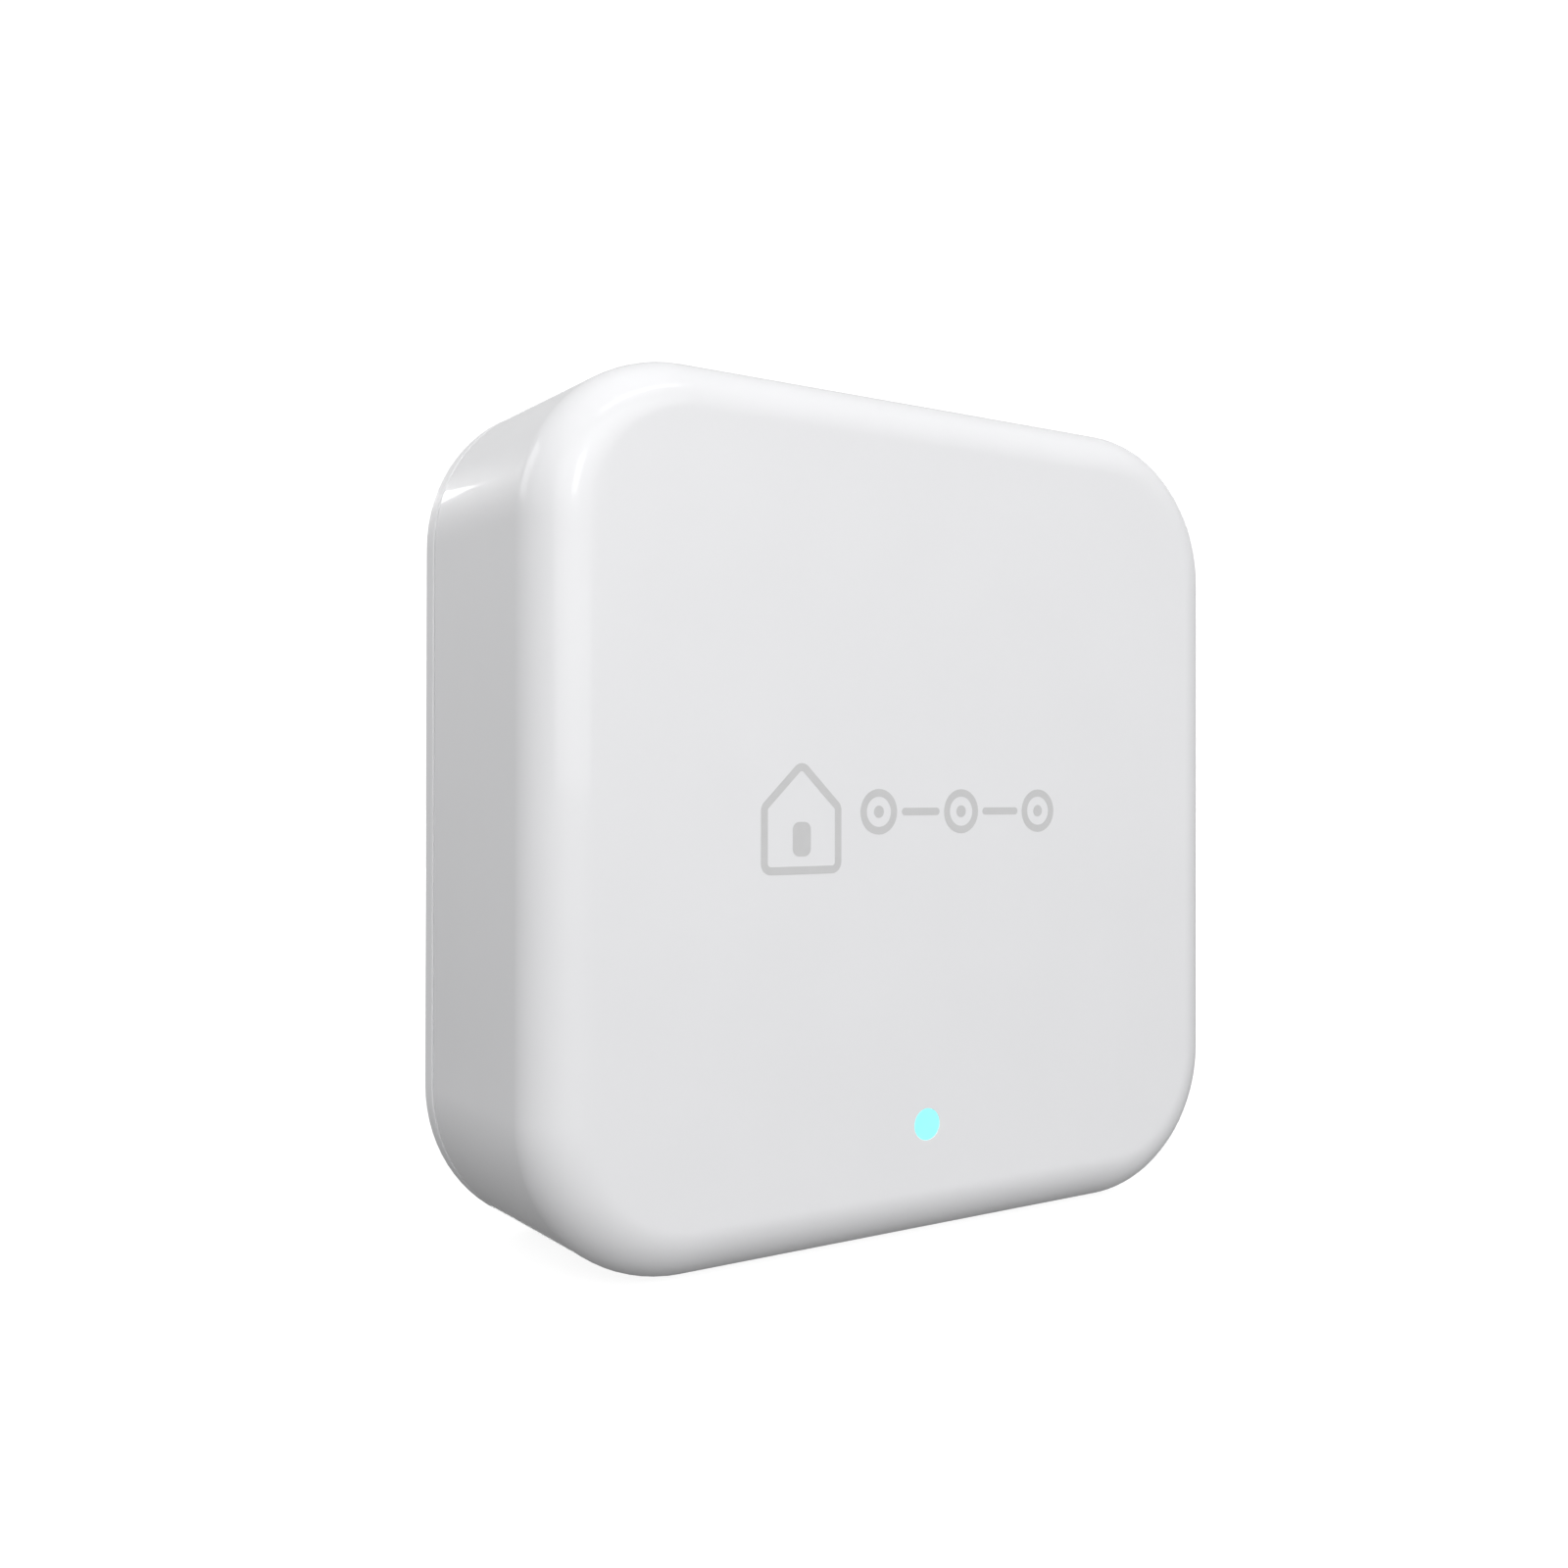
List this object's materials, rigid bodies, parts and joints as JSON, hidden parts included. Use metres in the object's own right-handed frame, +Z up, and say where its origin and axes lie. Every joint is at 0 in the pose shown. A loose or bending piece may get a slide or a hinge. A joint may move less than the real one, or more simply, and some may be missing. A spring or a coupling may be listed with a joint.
{
  "type": "smart home hub",
  "caption": "Square white smart home hub with rounded corners: two-part case, status light, USB-C power socket, sprung reset button, board with Wi-Fi and Bluetooth modules.",
  "frame": {"origin": "middle of the base: on the bottom edge's flat, halfway across the width and halfway between the front face and the faces of the rear feet", "axes": "+Z up, +Y from the front face to the back, +X to the right seen from the front"},
  "size_m": [0.07, 0.0228, 0.07],
  "materials": {
    "case_plastic": "white moulded plastic with a soft gloss and a very fine texture",
    "cover_plastic": "white moulded plastic, a little less glossy than the shell",
    "light_plastic": "translucent light pipe glowing an even pale cyan",
    "foot_rubber": "matt grey silicone rubber",
    "label_stock": "blank satin polyester label",
    "screw_steel": "nickel-plated steel screw",
    "socket_steel": "drawn stainless steel",
    "tinned_steel": "tinned sheet steel",
    "can_aluminium": "drawn aluminium can with a plastic film",
    "black_plastic": "black glass-filled nylon",
    "chip_package": "matt black epoxy",
    "circuit_board": "green solder mask over glass-epoxy laminate",
    "module_board": "black solder mask over glass-epoxy laminate",
    "led_package": "white LED package",
    "ferrite_block": "moulded ferrite",
    "ceramic_chip": "sintered ceramic with tinned ends"
  },
  "bodies": {
    "case": {"front_shell": "case_plastic", "rear_cover": "cover_plastic", "rating_label": "label_stock", "rubber_foot_1": "foot_rubber", "rubber_foot_2": "foot_rubber", "rubber_foot_3": "foot_rubber", "rubber_foot_4": "foot_rubber", "case_screw_1": "screw_steel", "case_screw_2": "screw_steel", "case_screw_3": "screw_steel", "case_screw_4": "screw_steel", "board_screw_1": "screw_steel", "board_screw_2": "screw_steel", "board_screw_3": "screw_steel", "board_screw_4": "screw_steel", "light_pipe": "light_plastic", "usb_shell": "socket_steel", "usb_tongue": "black_plastic", "switch_body": "black_plastic", "switch_yoke": "tinned_steel", "main_board": "circuit_board", "wifi_board": "module_board", "wifi_chip": "chip_package", "wifi_shield": "tinned_steel", "bluetooth_board": "module_board", "bluetooth_chip": "chip_package", "bluetooth_shield": "tinned_steel", "status_led": "led_package", "voltage_regulator": "chip_package", "microcontroller": "chip_package", "flash_chip": "chip_package", "clock_crystal": "tinned_steel", "input_fuse": "ceramic_chip", "surge_diode": "chip_package", "power_inductor": "ferrite_block", "capacitor_base_1": "black_plastic", "capacitor_can_1": "can_aluminium", "capacitor_base_2": "black_plastic", "capacitor_can_2": "can_aluminium", "chip_capacitor_1": "ceramic_chip", "chip_capacitor_2": "ceramic_chip", "chip_capacitor_3": "ceramic_chip", "chip_capacitor_4": "ceramic_chip", "chip_capacitor_5": "ceramic_chip", "chip_capacitor_6": "ceramic_chip", "chip_capacitor_7": "ceramic_chip", "chip_resistor_1": "chip_package", "chip_resistor_2": "chip_package", "chip_resistor_3": "chip_package", "chip_resistor_4": "chip_package", "chip_resistor_5": "chip_package", "chip_resistor_6": "chip_package", "chip_resistor_7": "chip_package"},
    "reset_button": {"reset_button": "cover_plastic"},
    "switch_plunger": {"switch_plunger": "black_plastic"}
  },
  "joints": [
    {"name": "button_press", "type": "slide", "parent": "case", "child": "reset_button", "axis": [0, 0, -1], "range_m": [0, 0.0005], "stiffness_N_per_m": 2000},
    {"name": "plunger_press", "type": "slide", "parent": "case", "child": "switch_plunger", "axis": [0, 0, -1], "range_m": [0, 0.00025]}
  ],
  "couplings": [
    {"joint": "plunger_press", "follows": "button_press", "ratio": 0.5}
  ]
}
